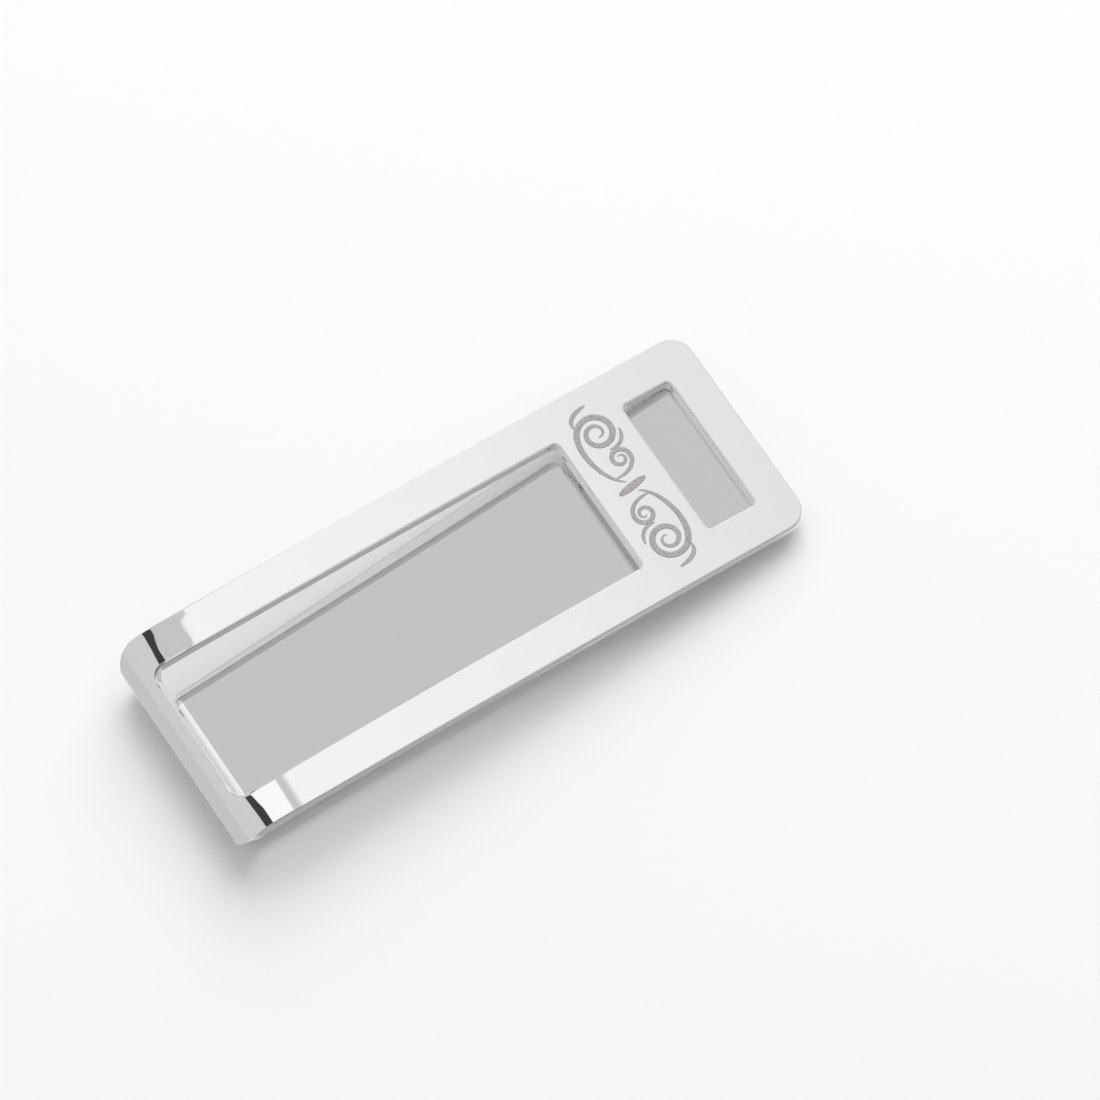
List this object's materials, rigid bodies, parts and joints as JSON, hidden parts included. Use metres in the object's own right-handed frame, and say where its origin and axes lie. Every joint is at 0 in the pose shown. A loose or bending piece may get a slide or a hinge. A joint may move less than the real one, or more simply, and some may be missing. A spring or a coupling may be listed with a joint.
{
  "type": "money clip",
  "caption": "Flat sprung clip for banknotes and cards: one polished steel strip folded into a U, with a windowed front leg and a plain back leg.",
  "frame": {"origin": "middle of the footprint, on the outer face of the back leg, which lies flat on the surface below", "axes": "+X from the fold to the tips, +Y across the strip, +Z out of the front"},
  "size_m": [0.067, 0.0242, 0.0075],
  "materials": {
    "polished_steel": "mirror polish with softened edges"
  },
  "bodies": {
    "back_half": {"back_leg": "polished_steel", "fold_back": "polished_steel"},
    "front_half": {"fold_front": "polished_steel", "front_frame": "polished_steel"}
  },
  "joints": [
    {"name": "clip_flex", "type": "hinge", "parent": "back_half", "child": "front_half", "pos_m": [-0.0335, 0, 0.00375], "axis": [0, -1, 0], "range_deg": [0, 6], "stiffness_Nm_per_rad": 10.5, "springref_deg": -1.15}
  ]
}
